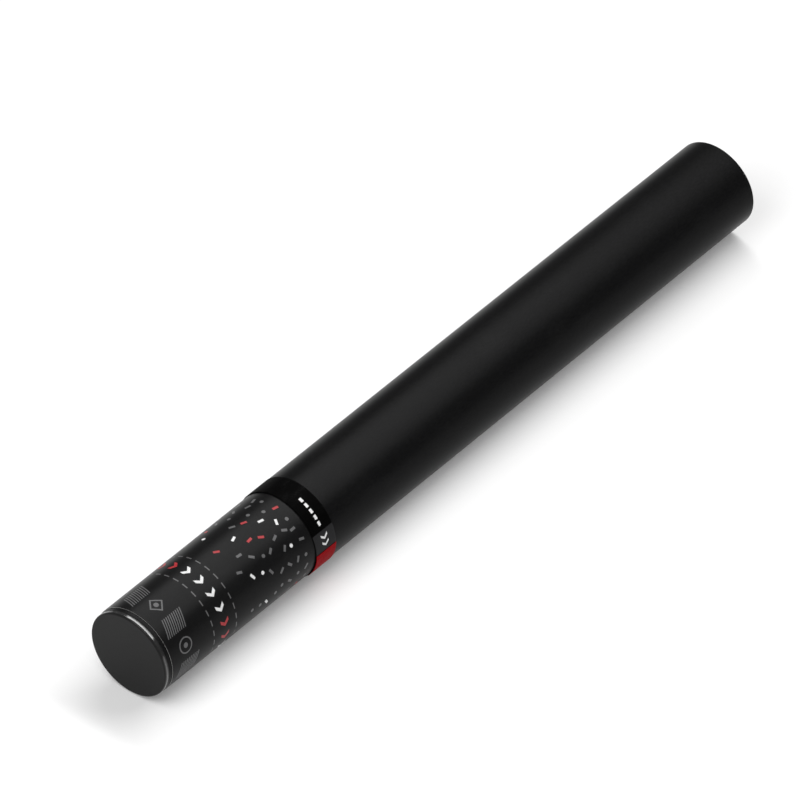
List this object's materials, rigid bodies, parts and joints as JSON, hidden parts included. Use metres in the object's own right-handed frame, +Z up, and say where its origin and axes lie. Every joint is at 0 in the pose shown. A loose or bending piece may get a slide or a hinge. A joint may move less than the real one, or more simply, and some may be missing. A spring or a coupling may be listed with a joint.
{
  "type": "confetti popper",
  "caption": "Hand-held twist-fired confetti popper: black card barrel on a turning handle, with cam, gas cartridge, needle, tear-off seal, wad and paper confetti inside.",
  "frame": {"origin": "centre of the flat base face, on the tube's axis", "axes": "+X along the tube from the base to the muzzle; +Z up with the popper lying on its side; the pull tab is on the -Y side"},
  "size_m": [0.5, 0.0537, 0.0534],
  "materials": {
    "barrel_card": "matte",
    "handle_card": "matte",
    "printed_label": "satin",
    "cap_plastic": "satin",
    "breech_plastic": "satin",
    "mechanism_plastic": "satin",
    "guide_plastic": "satin",
    "steel": "satin",
    "cartridge_steel": "gloss",
    "seal_rubber": "matte",
    "seal_film": "gloss",
    "tab_film": "gloss",
    "wad_plastic": "matte",
    "board": "matte",
    "lid_card": "matte",
    "confetti_blue": "matte",
    "confetti_magenta": "matte",
    "confetti_orange": "matte",
    "confetti_lime": "matte",
    "confetti_red": "matte"
  },
  "bodies": {
    "barrel": {"barrel_tube": "barrel_card", "breech_block": "breech_plastic", "guide_tube": "guide_plastic", "retaining_ring": "steel", "piercing_needle": "steel", "neck_seal": "seal_rubber", "carrier_spring": "steel"},
    "handle": {"handle_tube": "handle_card", "handle_label": "printed_label", "base_cap": "cap_plastic", "cam_sleeve": "mechanism_plastic", "upper_bush": "mechanism_plastic", "thrust_washer": "steel"},
    "carrier": {"cartridge_carrier": "mechanism_plastic", "cross_pin": "steel", "gas_cartridge": "cartridge_steel", "cartridge_cap": "cartridge_steel"},
    "charge": {"pressure_wad": "wad_plastic", "pusher_disc": "board", "confetti_row_1": "confetti_blue", "confetti_row_2": "confetti_magenta", "confetti_row_3": "confetti_orange", "confetti_row_4": "confetti_lime", "confetti_row_5": "confetti_red", "muzzle_lid": "lid_card"},
    "seal": {"safety_seal": "seal_film"},
    "tab": {"pull_tab": "tab_film"}
  },
  "joints": [
    {"name": "handle_twist", "type": "hinge", "parent": "barrel", "child": "handle", "pos_m": [0, 0, 0], "axis": [1, 0, 0], "range_deg": [0, 90]},
    {"name": "carrier_slide", "type": "slide", "parent": "barrel", "child": "carrier", "axis": [1, 0, 0], "range_m": [0, 0.006], "deforming": ["carrier_spring", "cartridge_cap"]},
    {"name": "charge_eject", "type": "slide", "parent": "barrel", "child": "charge", "axis": [1, 0, 0], "range_m": [0, 0.305]},
    {"name": "seal_removal", "type": "slide", "parent": "barrel", "child": "seal", "axis": [-1, 0, 0], "range_m": [0, 0.145]},
    {"name": "tab_lift", "type": "hinge", "parent": "seal", "child": "tab", "pos_m": [0.13, -0.02695, -0.0003], "axis": [-1, 0, 0], "range_deg": [0, 120]}
  ],
  "couplings": [
    {"joint": "carrier_slide", "follows": "handle_twist", "m_per_rad": 0.0038197}
  ]
}
